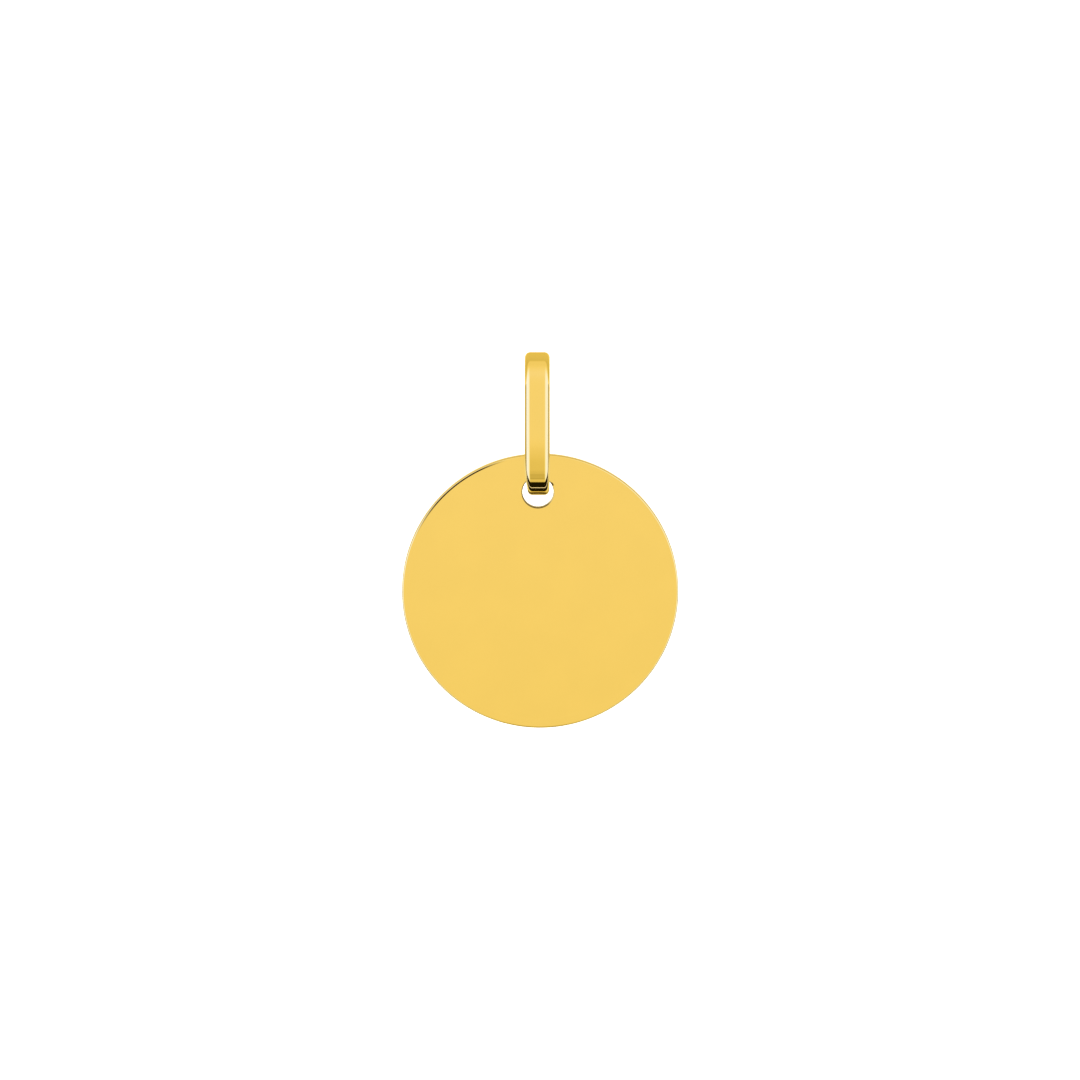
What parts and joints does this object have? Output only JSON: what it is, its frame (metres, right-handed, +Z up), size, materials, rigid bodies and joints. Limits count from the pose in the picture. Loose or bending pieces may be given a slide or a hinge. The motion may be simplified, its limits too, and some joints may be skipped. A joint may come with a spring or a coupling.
{
  "type": "disc pendant",
  "caption": "Plain round pendant plate with one hole, hanging on a long narrow strap bail that takes a neck chain.",
  "frame": {"origin": "middle of the bail's inner top, where a chain carries the pendant", "axes": "+X to the right seen from the front and along the chain, +Z up, the front faces -Y"},
  "size_m": [0.015, 0.0034, 0.0205],
  "materials": {
    "bail_gold": "mirror-polished yellow gold, softened edges",
    "disc_gold": "mirror-polished yellow gold, flat lapped faces"
  },
  "bodies": {
    "bail": {"bail": "bail_gold"},
    "disc": {"disc": "disc_gold"}
  },
  "joints": [
    {"name": "disc_swing", "type": "hinge", "parent": "bail", "child": "disc", "pos_m": [0, 0, -0.00537], "axis": [1, 0, 0], "range_deg": [-70, 70]}
  ]
}
